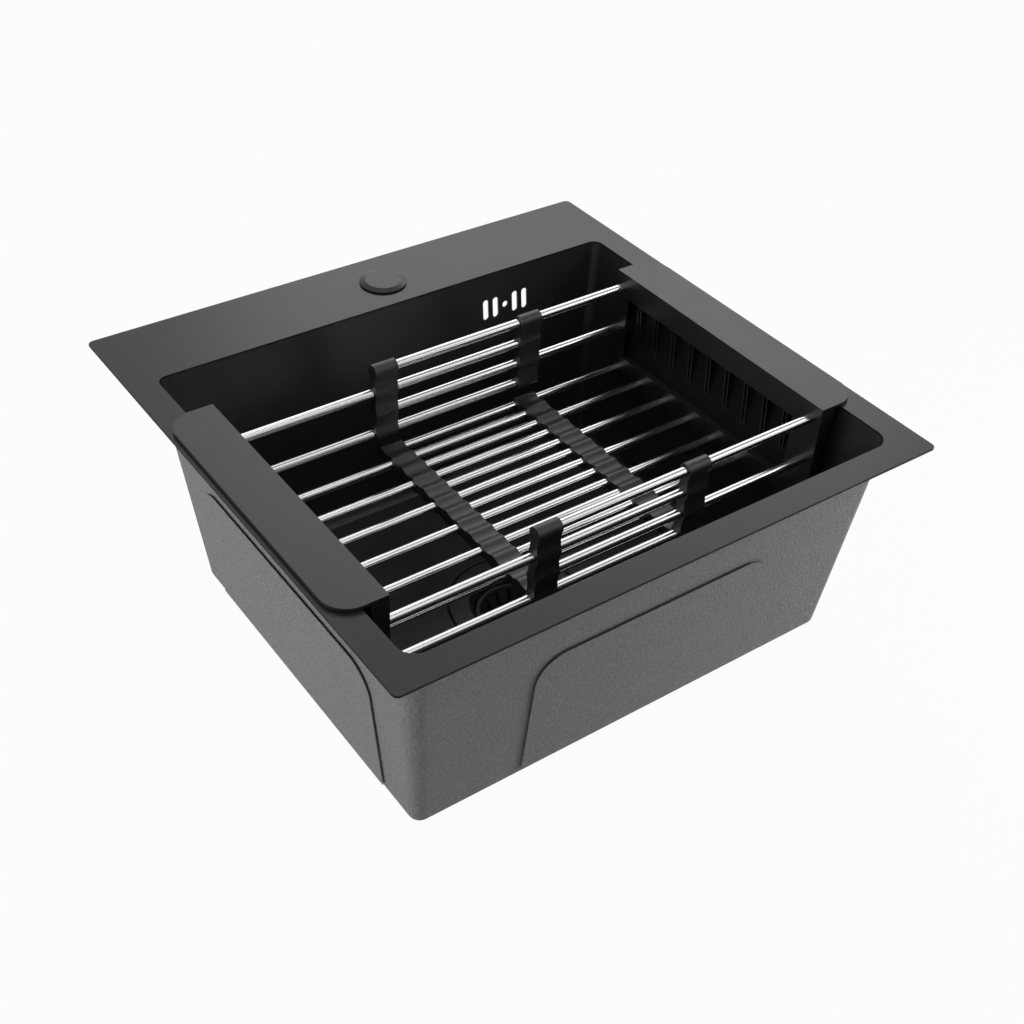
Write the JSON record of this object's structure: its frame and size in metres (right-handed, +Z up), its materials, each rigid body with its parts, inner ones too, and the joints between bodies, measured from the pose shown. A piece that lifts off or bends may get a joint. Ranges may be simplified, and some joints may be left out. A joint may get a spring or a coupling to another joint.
{
  "type": "workstation kitchen sink",
  "caption": "Black single-bowl kitchen sink with a tap ledge, overflow slots, basket waste and a telescopic draining rack hung between two trays on the rim.",
  "frame": {"origin": "centre of the underside of the rim's seal, in the plane of the worktop that the seal rests on", "axes": "+X to the right along the rim, +Y to the tap ledge at the back, +Z up out of the bowl"},
  "size_m": [0.5, 0.484, 0.32],
  "materials": {
    "coated_steel": "satin black coating over brushed stainless steel",
    "bowl_coating": "satin black coating inside, spray coat outside",
    "spray_coat": "grey pebbled sound deadening spray coat",
    "cover_steel": "satin black",
    "waste_steel": "satin black",
    "zinc_steel": "zinc plated",
    "seal_rubber": "moulded rubber",
    "fitting_plastic": "moulded polypropylene",
    "knob_plastic": "moulded black plastic",
    "tray_plastic": "satin moulded black plastic",
    "rod_steel": "bright polished stainless steel tube",
    "strip_rubber": "satin moulded black rubber"
  },
  "bodies": {
    "sink": {"top_plate": "coated_steel", "rim_seal": "seal_rubber", "bowl": "bowl_coating", "front_pad": "spray_coat", "back_pad": "spray_coat", "left_pad": "spray_coat", "right_pad": "spray_coat", "floor_pad": "spray_coat", "tap_hole_cover": "cover_steel", "cover_gasket": "seal_rubber", "cover_stud": "zinc_steel", "cover_washer": "zinc_steel", "cover_nut": "zinc_steel", "waste_body": "waste_steel", "lip_seal": "seal_rubber", "under_seal": "seal_rubber", "friction_ring": "fitting_plastic", "locknut": "fitting_plastic", "tail_washer": "seal_rubber", "tailpiece": "fitting_plastic", "slip_nut": "fitting_plastic"},
    "strainer": {"strainer_basket": "waste_steel", "strainer_knob": "knob_plastic", "strainer_seal": "seal_rubber"},
    "rack_left": {"left_tray": "tray_plastic", "left_rods": "rod_steel", "back_strip_right": "strip_rubber", "floor_strip_right": "strip_rubber", "front_strip_right": "strip_rubber"},
    "rack_right": {"right_tray": "tray_plastic", "right_rods": "rod_steel", "back_strip_left": "strip_rubber", "floor_strip_left": "strip_rubber", "front_strip_left": "strip_rubber"}
  },
  "joints": [
    {"name": "strainer_lift", "type": "slide", "parent": "sink", "child": "strainer", "axis": [0, 0, 1], "range_m": [0, 0.06]},
    {"name": "rack_lift", "type": "slide", "parent": "sink", "child": "rack_left", "axis": [0, 0, 1], "range_m": [0, 0.15]},
    {"name": "rack_slide", "type": "slide", "parent": "rack_left", "child": "rack_right", "axis": [1, 0, 0], "range_m": [-0.095, 0.003]}
  ]
}
